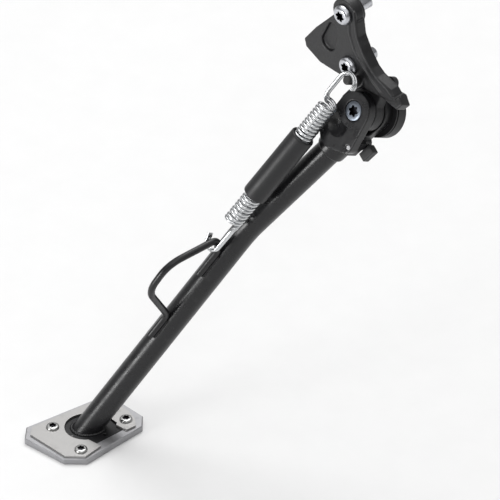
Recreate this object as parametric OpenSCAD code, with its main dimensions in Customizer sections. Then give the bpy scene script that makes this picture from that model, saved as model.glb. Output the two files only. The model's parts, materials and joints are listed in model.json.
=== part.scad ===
// Motorcycle side stand: frame bracket, swinging leg with a clevis head, twin return
// springs, side stand switch and a bolted-on foot enlargement.
// Units are millimetres. +X points to the rear of the machine, +Y inboard, +Z up, and
// the leg is down with its foot flat on level ground. The origin is the middle of the two
// bracket screws on the bracket's mounting face.

/* [Pivot] */
// Upward tilt of the outboard end of the pivot axis, in degrees
pivot_lean = 27; // [20:0.5:32]
// Radius of the clevis ears around the pivot
ear_r = 16.5; // [15:0.5:18]
// Thickness of the outboard ear
outer_ear_t = 9; // [8:0.5:9]
// Clear width between the two ears
ear_gap = 13; // [12:0.5:16]
// Thickness of the inboard ear
inner_ear_t = 8; // [7:0.5:9]
// Shoulder diameter of the pivot bolt
bolt_shoulder_d = 12; // [10:0.5:12]
// Head diameter of the pivot bolt
bolt_head_d = 16.5; // [16:0.5:18]

/* [Leg] */
// Outside diameter of the leg tube
tube_d = 22.2; // [20:0.1:24]
// Wall thickness of the leg tube
tube_wall = 3; // [2:0.5:4]
// Forward rake of the upper stretch of the leg, in degrees
upper_rake = 30; // [28:0.5:32]
// Forward rake of the lower stretch of the leg, in degrees
lower_rake = 22; // [20:0.5:24]
// Distance from the pivot to the bend of the leg
bend_from_pivot = 156.6; // [150:0.2:160]
// Centreline radius of the bend
bend_r = 150; // [100:10:200]
// Offset of the tube's axis behind the pivot
tube_offset = 3.8; // [2:0.2:5]
// Outside diameter of the collar that holds the tube
collar_d = 26.4; // [25:0.2:28]

/* [Lever] */
// Diameter of the lever rod
rod_d = 6; // [5:0.2:7]

/* [Springs] */
// Wire diameter of both springs
wire_d = 2.7; // [2.2:0.1:2.8]
// Mean diameter of both coils
coil_d = 13.7; // [13:0.1:14.2]
// Outside diameter of the rubber sleeve
sleeve_d = 20.8; // [20.6:0.1:23]
// Length of the rubber sleeve
sleeve_len = 70; // [60:1:76]
// Diameter of the spring anchor pin
pin_d = 7.6; // [6:0.2:8]

/* [Switch] */
// Diameter of the switch housing
switch_d = 42; // [40:0.5:44]
// Depth of the switch housing
switch_depth = 12; // [11:0.5:14]

/* [Bracket] */
// Distance between the two bracket screws
screw_pitch = 46.8; // [44:0.2:50]
// Thickness of the bracket plate
plate_t = 9; // [8:0.5:10]
// Thread diameter of the bracket screws
frame_screw_d = 10; // [8:1:10]

/* [Foot] */
// Length of the foot enlargement across the machine
foot_len = 94.6; // [92:0.2:98]
// Width of the foot enlargement along the machine
foot_w = 68.4; // [66:0.2:72]
// Thickness of the aluminium base
base_t = 5.6; // [5.4:0.1:6.4]
// Thickness of the stainless clamping plate
clamp_t = 2; // [1.5:0.1:2.5]
// Thickness of the forged foot of the leg
forged_foot_t = 4; // [3.5:0.1:4]
// Turn of the foot about the vertical, in degrees
foot_yaw = -3.5; // [-6:0.5:0]

/* [Hidden] */
$fn = 72;

// Pivot: the middle of the outboard ear's outer face
pivot = [20, -25, -53];
eps = 0.05;

// Bracket: distance from the mounting face to the seats of the screw heads
seat_out = 12;
boss_r = 12.5;
peg_at = [0, 25.5];

// Heights along the pivot axis, measured outboard from the outer ear's face
outer_in = -outer_ear_t;
inner_out = outer_in - ear_gap;
inner_in = inner_out - inner_ear_t;
mid_z = inner_in / 2;
washer_t = 1;
barrel_out = outer_in - washer_t - 2 * eps;
barrel_in = inner_out + washer_t + 2 * eps;
barrel_r = 16;
bush_r = 9;
shoulder_r = bolt_shoulder_d / 2;
thread_r = 5;
head_r = bolt_head_d / 2;
head_h = 4.8;
head_sink = 0.3;
bolt_end = inner_in - 6.5;

// Upper and lower axes of the leg, in the plane of the leg
tube_r = tube_d / 2;
collar_r = collar_d / 2;
collar_from = 28;
collar_to = 46;
bend_angle = upper_rake - lower_rake;
bend_run = bend_r * tan(bend_angle / 2);

// Spring anchors, in the plane of the leg, and the height of the springs' common axis
pin_at = [-5.9, 24.1];
rod_at = [-82.1, -155.1];
spring_z = 10.6;
pin_r = pin_d / 2;
rod_r = rod_d / 2;
wire_r = wire_d / 2;
coil_r = coil_d / 2;
spring_run = norm(pin_at - rod_at);
spring_turn = -atan2(pin_at.x - rod_at.x, pin_at.y - rod_at.y);
hook_step = 1.4;
upper_hook_r = 8.3;
lower_hook_r = 6.6;
upper_hook_at = [0, -(upper_hook_r - wire_r - pin_r - 0.15)];
lower_hook_at = [-1.4, -spring_run + 1.4];
coil_top = -26;
coil_split = -100;
split_gap = 10;
sleeve_top = -65;
// Coil start below the pin, turns and lead of each spring
first_coil = [coil_top - 3.6, 18.5, 7.45];
second_coil = [coil_top, 19.5, 7.412];

// Foot: the ground, and the middle of the enlargement on it
ground = pivot.z - 334;
foot_at = [pivot.x - 165.8, pivot.y - 147.8, ground];
forged_foot_at = 1.5;
forged_foot_mid = [0.3, -2.4];
foot_edge = [[21.2, -45.2], [34.3, -30.8], [29.5, 33], [19, 42.4], [-13, 40.5], [-25.7, 30],
             [-34.1, -41.2], [-22.6, -52.2]];
foot_screw_spots = [[23, -28.2], [-17.1, -26.2], [15.5, 26.9], [-13.5, 27.5]];
foot_screw_r = 2.5;

function unit(v) = v / norm(v);

// Points of an arc of radius r that rounds the corner b between a and c
function corner(a, b, c, r, n = 8) =
    let (u = unit(a - b),
         v = unit(c - b),
         half = acos(u * v) / 2,
         centre = b + unit(u + v) * r / sin(half),
         from = unit(b + u * r / tan(half) - centre),
         to = unit(b + v * r / tan(half) - centre),
         side = cross(unit(cross(from, to)), from),
         sweep = 180 - 2 * half)
    [for (i = [0:n]) centre + r * (from * cos(sweep * i / n) + side * sin(sweep * i / n))];

// A path through points p, rounded at each inner point with the radii in r
function rounded_path(p, r) = concat(
    [p[0]],
    [for (i = [1:len(p) - 2]) each corner(p[i - 1], p[i], p[i + 1], r[i - 1])],
    [p[len(p) - 1]]);

// Point at s on a cubic curve with four control points
function cubic(a, b, c, d, s) =
    a * pow(1 - s, 3) + 3 * b * s * pow(1 - s, 2) + 3 * c * s * s * (1 - s) + d * pow(s, 3);

function tangent(p, i) = unit(p[min(i + 1, len(p) - 1)] - p[max(i - 1, 0)]);

// Normals carried along a path without twist
function carried(p, first) = [
    for (i = 0, n = unit(first - (first * tangent(p, 0)) * tangent(p, 0));
         i < len(p);
         i = i + 1,
         n = i < len(p) ? unit(n - (n * tangent(p, i)) * tangent(p, i)) : n) n];

// Round wire of radius r along path p; first is a direction across its start
module wire(p, r, sides = 8, first = [0, 0, 1]) {
    normals = carried(p, first);
    rings = [for (i = [0:len(p) - 1])
        let (n = normals[i], b = cross(tangent(p, i), n))
        for (k = [0:sides - 1])
            p[i] + r * (n * cos(360 * k / sides) + b * sin(360 * k / sides))];
    last = len(p) - 1;
    walls = [for (i = [0:last - 1], k = [0:sides - 1])
        let (a = i * sides + k, b = i * sides + (k + 1) % sides)
        each [[a, b, b + sides], [a, b + sides, a + sides]]];
    caps = [[for (k = [sides - 1:-1:0]) k], [for (k = [0:sides - 1]) last * sides + k]];
    polyhedron(points = rings, faces = [for (f = concat(walls, caps)) [f[0], for (j = [len(f) - 1:-1:1]) f[j]]]);
}

// Flat outline that wraps two circles with straight tangents
module link(c1, r1, c2, r2, n = 24) {
    d = c2 - c1;
    base = atan2(d.y, d.x);
    open = acos((r1 - r2) / norm(d));
    polygon(concat(
        [for (i = [0:n]) let (t = base + open + (360 - 2 * open) * i / n) c1 + r1 * [cos(t), sin(t)]],
        [for (i = [0:n]) let (t = base - open + 2 * open * i / n) c2 + r2 * [cos(t), sin(t)]]));
}

// Solid between two heights
module slab(z1, z2) {
    translate([0, 0, min(z1, z2)]) linear_extrude(abs(z2 - z1)) children();
}

// Round bar or ring between two heights
module bar(r, z1, z2) {
    translate([0, 0, min(z1, z2)]) cylinder(r = r, h = abs(z2 - z1));
}

// Six-lobed driving socket of outer radius r, sunk by depth below the origin
module socket(r, depth) {
    translate([0, 0, -depth]) linear_extrude(depth + 1) {
        circle(r * 0.74);
        for (i = [0:5]) rotate(60 * i) translate([r * 0.76, 0]) circle(r * 0.24);
    }
}

// Domed head of radius r and height h, standing on z = 0, with its socket
module dome_head(r, h, drive = 0.52) {
    crown = (r * r + h * h) / (2 * h);
    difference() {
        intersection() {
            translate([-r - 1, -r - 1, 0]) cube([2 * r + 2, 2 * r + 2, h]);
            translate([0, 0, h - crown]) sphere(crown);
        }
        translate([0, 0, h]) socket(r * drive, h * 0.62);
    }
}

// The plane of the leg: x to the rear, y up the plane, z outboard along the pivot axis
module stand_frame() {
    translate(pivot) rotate([90 - pivot_lean, 0, 0]) children();
}

// The plane of the leg turned so that the upper leg runs along -y
module upper_leg_frame() {
    stand_frame() rotate([0, 0, -upper_rake]) children();
}

// The lower leg, running along -y from the bend, with the tube's axis at the origin
module lower_leg_frame() {
    upper_leg_frame() translate([tube_offset, -bend_from_pivot, mid_z])
        rotate([0, 0, bend_angle]) children();
}

// The springs: y runs from the lever rod to the pin, with the pin's axis at the origin
module spring_frame() {
    stand_frame() translate([pin_at.x, pin_at.y, spring_z]) rotate([0, 0, spring_turn]) children();
}

// The foot: z = 0 on the ground, +x to the rear, +y inboard
module foot_frame() {
    translate(foot_at) rotate([0, 0, foot_yaw]) children();
}

// ---- Bracket ----

// Outline of the bracket plate, x to the rear and y up
module bracket_outline() {
    translate([-3, screw_pitch / 2]) circle(13);
    polygon([[-16, 16.6], [-36, -4.5], [-49, -21], [-47, -28], [-31, -36], [-7, -37.5], [35, -37.5],
             [47, -36.5], [53, -34], [54.5, -29.5], [50, -24.7], [34.7, -19.2], [28.3, -14.4], [20.1, -3.6],
             [13.4, 8.7], [11.5, 22]]);
}

module bracket_pocket() {
    link([-21, -12], 7.5, [-16, 4], 5);
}

// Places children at both bracket screws, looking outboard
module at_frame_screws() {
    tilt = atan2(3, screw_pitch / 2);
    for (s = [1, -1])
        rotate([0, -tilt, 0]) translate([0, 0, s * screw_pitch / 2]) rotate([90, 0, 0]) children();
}

module bracket_casting() {
    plate_back = -seat_out + plate_t;
    color([0.07, 0.07, 0.075]) difference() {
        union() {
            translate([0, plate_back, 0]) rotate([90, 0, 0]) linear_extrude(plate_t) bracket_outline();
            at_frame_screws() bar(boss_r, 0, seat_out - 0.1);
            stand_frame() {
                slab(barrel_in, barrel_out) {
                    circle(barrel_r);
                    polygon([[-13, 2], [13, 2], [14, 29], [-15.5, 29]]);
                    polygon([[8, 19.7], [33, 15.4], [37, 21.4], [30, 28], [8, 28]]);
                    rotate(-upper_rake) translate([-22, -8.7]) square([14, 9]);
                }
                translate([pin_at.x, pin_at.y, 0]) bar(pin_r + 2.6, -15, 0.5);
            }
            translate([1, 0, 0]) rotate([90, 0, 90]) linear_extrude(41.5)
                polygon([[-11.6, -36.9], [-6.1, -39], [2.9, -43.4], [5.4, -38.2], [-3.4, -24.7], [-11.6, -24.7]]);
        }
        translate([0, 2.5 - seat_out, 0]) rotate([90, 0, 0]) linear_extrude(8) bracket_pocket();
        at_frame_screws() bar(frame_screw_d / 2 + 0.3, -30, 40);
        stand_frame() {
            bar(bush_r, barrel_in - 1, barrel_out + 1);
            translate([pin_at.x, pin_at.y, 0]) bar(pin_r + 0.02, -11, 30);
            translate([peg_at.x, peg_at.y, 0]) bar(2.52, -40, -12.5);
        }
    }
}

module bracket_screws() {
    color([0.78, 0.78, 0.8]) at_frame_screws() {
        translate([0, 0, seat_out]) dome_head(8.75, 5.2);
        bar(frame_screw_d / 2, -16, -0.05);
        bar(frame_screw_d / 2 - 0.5, -0.06, seat_out + 0.01);
    }
}

module spring_pin() {
    color([0.1, 0.1, 0.1]) stand_frame() translate([pin_at.x, pin_at.y, 0]) {
        bar(pin_r, -10.95, 13.8);
        translate([0, 0, 13.8]) cylinder(r1 = pin_r, r2 = pin_r - 0.8, h = 0.8);
    }
}

// ---- Pivot ----

module pivot_bush() {
    color([0.7, 0.55, 0.3]) stand_frame() difference() {
        bar(bush_r, barrel_in, barrel_out);
        bar(shoulder_r + 0.05, barrel_in - 1, barrel_out + 1);
    }
}

module thrust_washer() {
    difference() {
        bar(14.5, 0, washer_t);
        bar(shoulder_r + 0.15, -1, washer_t + 1);
    }
}

module outer_thrust_washer() {
    color([0.6, 0.6, 0.6]) stand_frame() translate([0, 0, barrel_out + eps]) thrust_washer();
}

module inner_thrust_washer() {
    color([0.6, 0.6, 0.6]) stand_frame() translate([0, 0, inner_out + eps]) thrust_washer();
}

module pivot_bolt() {
    color([0.75, 0.76, 0.8]) stand_frame() difference() {
        union() {
            bar(head_r, -head_sink - head_h, -head_sink - 0.8);
            translate([0, 0, -head_sink - 0.8]) cylinder(r1 = head_r, r2 = head_r - 0.8, h = 0.8);
            bar(shoulder_r, inner_out, -head_sink - head_h + 0.1);
            bar(thread_r - 0.02, bolt_end, inner_out + 0.1);
        }
        translate([0, 0, -head_sink]) socket(4.4, 3.4);
        bar(3, bolt_end - 1, bolt_end + 10);
    }
}

module pivot_lock_nut() {
    color([0.7, 0.7, 0.72]) stand_frame() difference() {
        translate([0, 0, inner_in - 5.05]) cylinder(r = 9.8, h = 5, $fn = 6);
        bar(thread_r, inner_in - 7, inner_in);
    }
}

// ---- Clevis head ----

module cheek_outline() {
    link([0, 0], ear_r, [1, -27], 13.6);
}

module outer_cheek_outline() {
    cheek_outline();
    link([0, 0], ear_r, [17.3, -22.5], 7.3);
    link([1, -27], 13.6, [17.3, -22.5], 7.3);
}

// The web between the cheeks, with the stop faces of both ends of the swing
module web_outline() {
    difference() {
        union() {
            intersection() {
                cheek_outline();
                union() {
                    translate([-30, -50]) square([30, 41]);
                    translate([-1, -50]) square([31, 37.5]);
                }
            }
            translate([-19, -30]) square([12, 21]);
            translate([5, -33]) square([15.5, 15.5]);
        }
        circle(18.6);
    }
}

module fork_head() {
    color([0.08, 0.08, 0.085]) upper_leg_frame() difference() {
        union() {
            slab(outer_in, 0) outer_cheek_outline();
            slab(inner_in, inner_out) {
                cheek_outline();
                link([1, -27], 13.6, [14, -23], 6.5);
            }
            slab(inner_out, outer_in) web_outline();
            translate([tube_offset, -collar_from, mid_z]) rotate([90, 0, 0])
                bar(collar_r, 0, collar_to - collar_from);
        }
        difference() {
            translate([-1, -19, 9.5]) rotate([90, 0, 0]) sphere(14);
            bar(14.6, -10, 30);
        }
        bar(shoulder_r + 0.02, inner_out - 0.1, 1);
        bar(thread_r + 0.02, inner_in - 1, inner_out);
        bar(head_r + 0.35, -head_sink - head_h, 1);
        rotate([0, 0, 200]) translate([12.4, 0, 0]) bar(1.5, inner_in - 1, inner_in + 5);
        translate([20.9, -21.6, 0]) bar(2.02, -8.52, 1);
        translate([tube_offset, -collar_to + 14, mid_z]) rotate([90, 0, 0]) bar(tube_r + 0.04, 0, 20);
    }
}

module stop_pin() {
    color([0.7, 0.7, 0.7]) upper_leg_frame() translate([20.9, -21.6, 0]) bar(2, -8.5, -0.6);
}

module buffer_tab() {
    color([0.09, 0.09, 0.09]) upper_leg_frame()
        translate([20.5, -30, inner_in + 0.5]) cube([8, 13, 7]);
}

// ---- Leg and lever ----

module ring(r1, r2) {
    difference() {
        circle(r1);
        circle(r2);
    }
}

module leg_tube() {
    straight = bend_from_pivot - bend_run - collar_to + 13.95;
    lap = 0.5;
    bore_r = tube_r - tube_wall;
    color([0.07, 0.07, 0.075]) {
        upper_leg_frame() translate([tube_offset, -collar_to + 13.95, mid_z]) rotate([90, 0, 0])
            linear_extrude(straight) ring(tube_r, bore_r);
        upper_leg_frame() translate([tube_offset + bend_r, -bend_from_pivot + bend_run, mid_z])
            rotate([0, 0, 180 - lap]) rotate_extrude(angle = bend_angle + 2 * lap)
                translate([bend_r, 0]) ring(tube_r + 0.05, bore_r - 0.05);
        difference() {
            lower_leg_frame() translate([0, -bend_run, 0]) rotate([90, 0, 0])
                linear_extrude(280) ring(tube_r, bore_r);
            translate([foot_at.x - 200, foot_at.y - 200, ground - 100])
                cube([400, 400, 100 + forged_foot_at + forged_foot_t]);
        }
    }
}

// Corners of the lever's loop: x outboard of the leg's axis, y along the lower leg
rod_side = tube_r + rod_r + 0.02;
loop_out = 62;
lever_corners = [[rod_side, -127.5], [rod_side, -102], [loop_out - 2, -75], [loop_out, -43.5],
                 [26, -12.5], [rod_side, -26], [rod_side, -54]];
lever_radii = [9, 22, 26, 6.5, 9];

module lever_rod() {
    color([0.06, 0.06, 0.06]) lower_leg_frame() rotate([0, -90, 0])
        wire(rounded_path([for (p = lever_corners) [p.x, p.y, 0]], lever_radii), rod_r, 12);
}

// ---- Springs ----

// Path of one spring's coil between two depths below the pin
function coil_path(coil, from, to) =
    let (steps = ceil(abs(to - from) / coil[2] * 12))
    [for (i = [0:steps])
        let (y = from + (to - from) * i / steps, a = 180 + 360 * (coil[0] - y) / coil[2])
        [coil_r * cos(a), y, coil_r * sin(a)]];

// Hook over the pin, shank and the lead into the coil; z is the hook's own plane
function upper_end(coil, z) =
    let (c = upper_hook_at,
         r = upper_hook_r,
         start = coil_path(coil, coil[0] - coil[2] / 8, coil[0] - coil[2] / 4)[0],
         root = [-r, coil_top + 6, z])
    concat(
        [for (i = [0:10]) [c.x + r * cos(18 * i), c.y + r * sin(18 * i), z]],
        [for (i = [0:5]) cubic(root, root - [0, 5, 0], start + [-1.2, 1, 5], start, i / 5)]);

// Hook round the lever rod, shank and the lead out of the coil
function lower_end(coil, z) =
    let (c = lower_hook_at,
         r = lower_hook_r,
         last = coil[0] - coil[1] * coil[2],
         end = coil_path(coil, last + coil[2] / 8, last)[0],
         root = [c.x + r + 0.4, last - 7, z])
    concat(
        [for (i = [0:5]) cubic(end, end + [1.2, -1, 5], root + [0, 5, 0], root, i / 5)],
        [for (i = [0:10]) [c.x + r * cos(18 * i), c.y - r * sin(18 * i), z]],
        [[c.x - r - 1.6, c.y + 3, z]]);

module spring_upper(coil, z) {
    path = concat(upper_end(coil, z),
        coil_path(coil, coil[0] - coil[2] / 8 - 0.5, coil_split + split_gap / 2));
    color([0.8, 0.8, 0.82]) spring_frame() wire(path, wire_r, 6);
}

module spring_lower(coil, z) {
    path = concat(
        coil_path(coil, coil_split - split_gap / 2, coil[0] - coil[1] * coil[2] + coil[2] / 8 + 0.5),
        lower_end(coil, z));
    color([0.8, 0.8, 0.82]) spring_frame() wire(path, wire_r, 6);
}

module first_spring_upper() { spring_upper(first_coil, hook_step); }
module second_spring_upper() { spring_upper(second_coil, -hook_step); }
module first_spring_lower() { spring_lower(first_coil, hook_step); }
module second_spring_lower() { spring_lower(second_coil, -hook_step); }

module spring_sleeve() {
    color([0.05, 0.05, 0.05]) spring_frame() translate([0, sleeve_top, 0]) rotate([90, 0, 0])
        difference() {
            bar(sleeve_d / 2, 0, sleeve_len);
            bar(coil_r + wire_r + 0.4, -1, sleeve_len + 1);
        }
}

// ---- Side stand switch ----

switch_in = inner_in - 0.6;
switch_back = switch_in - switch_depth;
switch_r = switch_d / 2;
gland_turn = 150;

module switch_housing() {
    color([0.1, 0.1, 0.11]) stand_frame() difference() {
        union() {
            bar(switch_r, switch_back, switch_in);
            slab(switch_back + 3.5, switch_back + 9) link([0, 0], 12, peg_at, 5.5);
            translate([0, 0, (switch_in + switch_back) / 2]) rotate([0, 0, gland_turn]) rotate([0, 90, 0])
                bar(4.6, 0, switch_r + 6);
        }
        bar(16.2, switch_back + 4.5, switch_in + 1);
        bar(4.8, switch_back - 1, switch_in);
        difference() {
            bar(switch_r + 1, switch_in - 2.6, switch_in - 1.2);
            bar(switch_r - 1.4, switch_in - 3, switch_in);
        }
        translate([peg_at.x, peg_at.y, 0]) bar(2.55, switch_back, switch_in);
        translate([0, 0, (switch_in + switch_back) / 2]) rotate([0, 0, gland_turn]) rotate([0, 90, 0])
            bar(3, 12, switch_r + 7);
    }
}

module switch_contact_board() {
    color([0.5, 0.4, 0.2]) stand_frame() difference() {
        bar(16.1, switch_back + 4.6, switch_back + 6.2);
        bar(10.6, switch_back, switch_in);
    }
}

module switch_seal() {
    color([0.05, 0.05, 0.05]) stand_frame() translate([0, 0, inner_in - 1.9])
        rotate_extrude() translate([15.37, 0]) circle(0.8);
}

module switch_rotor() {
    color([0.85, 0.85, 0.8]) stand_frame() difference() {
        bar(14.5, inner_in - 3.4, inner_in - 0.3);
        bar(10.4, inner_in - 4, inner_in);
        rotate([0, 0, 200 - upper_rake]) translate([12.4, 0, 0]) bar(1.52, inner_in - 5, inner_in);
    }
}

module switch_drive_pin() {
    color([0.7, 0.7, 0.72]) upper_leg_frame() rotate([0, 0, 200]) translate([12.4, 0, 0])
        bar(1.5, inner_in - 3.2, inner_in + 5);
}

module switch_peg() {
    color([0.7, 0.7, 0.72]) stand_frame() translate([peg_at.x, peg_at.y, 0])
        bar(2.5, switch_back + 2, -12.52);
}

module switch_screw() {
    color([0.75, 0.75, 0.78]) stand_frame() difference() {
        union() {
            bar(6.5, switch_back - 2.8, switch_back - 0.2);
            bar(4.5, switch_back - 0.3, bolt_end);
            bar(2.98, bolt_end - 0.1, bolt_end + 9);
        }
        translate([0, 0, switch_back - 2.8]) rotate([180, 0, 0]) socket(3, 1.8);
    }
}

module switch_grommet() {
    color([0.04, 0.04, 0.04]) stand_frame() translate([0, 0, (switch_in + switch_back) / 2])
        rotate([0, 0, gland_turn]) rotate([0, 90, 0]) difference() {
            union() {
                bar(2.98, 17, switch_r + 6);
                bar(5.2, switch_r + 6, switch_r + 8);
                translate([0, 0, switch_r + 8]) cylinder(r1 = 4.2, r2 = 3.2, h = 9);
            }
            bar(1.9, 20, switch_r + 20);
        }
}

// ---- Foot ----

// Outline of the foot enlargement, drawn in by an inset all round
module foot_outline(inset = 0) {
    scale([(foot_w - 2 * inset) / 68.4, (foot_len - 2 * inset) / 94.6]) polygon(foot_edge);
}

module forged_foot_outline(grow = 0) {
    translate(forged_foot_mid) {
        circle(21 + grow);
        translate([0, -21 - grow]) square([22.2 + grow, 42 + 2 * grow]);
    }
}

module forged_foot() {
    color([0.07, 0.07, 0.07]) {
        foot_frame() difference() {
            translate([0, 0, forged_foot_at]) linear_extrude(forged_foot_t) forged_foot_outline();
            translate([17.5, 2, 0]) bar(1.6, -1, 20);
        }
        intersection() {
            lower_leg_frame() rotate([90, 0, 0]) bar(tube_r - tube_wall - 0.05, 150, 300);
            translate([foot_at.x - 60, foot_at.y - 60, ground + forged_foot_at + 0.6])
                cube([120, 120, 16]);
        }
    }
}

module foot_base_plate() {
    color([0.72, 0.72, 0.72]) foot_frame() difference() {
        union() {
            linear_extrude(base_t - 0.8) foot_outline();
            hull() {
                translate([0, 0, base_t - 0.81]) linear_extrude(0.01) foot_outline();
                translate([0, 0, base_t - 0.01]) linear_extrude(0.01) foot_outline(0.8);
            }
        }
        translate([0, 0, forged_foot_at - eps]) linear_extrude(10) forged_foot_outline(0.4);
        for (p = foot_screw_spots) translate([p.x, p.y, 0]) bar(foot_screw_r, -1, 20);
    }
}

module clamp_outline() {
    difference() {
        polygon([[-21.9, -46.6], [-29, -39], [-22.5, 24], [-13, 36.5], [8, 36], [19.7, 33.3], [27, 27.9],
                 [26.6, 18.5], [29.5, -12], [32.3, -31], [20.4, -43.5]]);
        translate([0.6, -4.6]) circle(18.2);
        translate([3.2, 4]) circle(15);
        polygon([[8, -16.2], [12.3, -14.8], [29.5, -12], [60, -12], [60, 19.3], [26.6, 18.5], [15.8, 15.9],
                 [13.5, 18.5], [8, 18.5]]);
    }
}

module foot_clamp_plate() {
    color([0.66, 0.65, 0.64]) foot_frame() difference() {
        translate([0, 0, base_t]) linear_extrude(clamp_t) clamp_outline();
        for (p = foot_screw_spots) translate([p.x, p.y, 0]) bar(foot_screw_r + 0.25, -1, 20);
    }
}

module foot_screws() {
    color([0.8, 0.8, 0.8]) foot_frame() for (p = foot_screw_spots)
        translate([p.x, p.y, base_t + clamp_t]) {
            dome_head(5.6, 2.3, 0.58);
            bar(foot_screw_r, -base_t - clamp_t + 0.8, 0.01);
        }
}

bracket_casting();
bracket_screws();
spring_pin();
pivot_bush();
outer_thrust_washer();
inner_thrust_washer();
switch_housing();
switch_contact_board();
switch_seal();
switch_peg();
switch_grommet();
fork_head();
pivot_bolt();
pivot_lock_nut();
switch_rotor();
switch_drive_pin();
switch_screw();
leg_tube();
lever_rod();
stop_pin();
buffer_tab();
forged_foot();
foot_base_plate();
foot_clamp_plate();
foot_screws();
first_spring_lower();
second_spring_lower();
first_spring_upper();
second_spring_upper();
spring_sleeve();
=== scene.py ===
"""Looks of a motorcycle side stand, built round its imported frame.

The frame's bodies carry every piece, so the leg, the springs and the switch rotor move with their joints.
"""

from __future__ import annotations

import json
import logging
import math
from dataclasses import dataclass, field
from enum import Enum
from functools import cached_property

import bmesh
import bpy
from mathutils import Matrix, Vector

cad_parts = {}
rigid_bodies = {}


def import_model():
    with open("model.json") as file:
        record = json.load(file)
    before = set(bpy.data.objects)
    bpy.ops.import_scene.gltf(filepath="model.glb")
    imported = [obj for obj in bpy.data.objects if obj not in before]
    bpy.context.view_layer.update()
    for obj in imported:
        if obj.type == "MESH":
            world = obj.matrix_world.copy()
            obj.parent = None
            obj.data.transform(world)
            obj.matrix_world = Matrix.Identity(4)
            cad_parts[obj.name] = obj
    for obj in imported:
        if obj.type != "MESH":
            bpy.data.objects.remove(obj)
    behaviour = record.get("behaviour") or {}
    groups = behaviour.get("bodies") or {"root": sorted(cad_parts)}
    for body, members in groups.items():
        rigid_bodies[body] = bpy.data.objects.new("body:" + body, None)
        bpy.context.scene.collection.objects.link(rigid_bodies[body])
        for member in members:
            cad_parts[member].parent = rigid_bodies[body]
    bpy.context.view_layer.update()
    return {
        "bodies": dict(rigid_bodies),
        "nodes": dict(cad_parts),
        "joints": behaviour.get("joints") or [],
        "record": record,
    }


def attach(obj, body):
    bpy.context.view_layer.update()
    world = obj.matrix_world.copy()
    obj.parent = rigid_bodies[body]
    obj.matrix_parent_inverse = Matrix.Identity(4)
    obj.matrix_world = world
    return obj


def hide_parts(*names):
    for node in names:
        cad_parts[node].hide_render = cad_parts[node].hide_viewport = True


log = logging.getLogger("side_stand")
MM = 0.001
# Vertex attribute and near-black colour of the painted shade at the bottom of a screw's driving socket.
SOCKET_SHADE_MARK = "painted_socket_shade"
SOCKET_PAINTED_SHADE = (0.012, 0.012, 0.014, 1)
WELD = 1e-5
Point = tuple[float, float, float]


class Grain(Enum):
    """What the surface of a finish is like under the light."""

    CAST = "sand-cast skin"
    PAINT = "orange peel of a sprayed coat"
    DRAWN = "fine lines along a drawn or rolled direction"
    BLASTED = "even blasted grain"
    MOULDED = "soft moulded skin"


GRAIN_NOISE: dict[Grain, tuple[float, float]] = {  # octaves, and strength of the fine ones
    Grain.CAST: (5.0, 0.62), Grain.PAINT: (1.0, 0.4), Grain.DRAWN: (3.0, 0.7), Grain.BLASTED: (2.0, 0.5),
    Grain.MOULDED: (2.0, 0.45)}


class Body(Enum):
    """The frame's bodies."""

    BRACKET = "bracket"
    LEG = "leg"
    LOWER = "spring_lower_half"
    UPPER = "spring_upper_half"


# ---- Finishes ----


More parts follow.
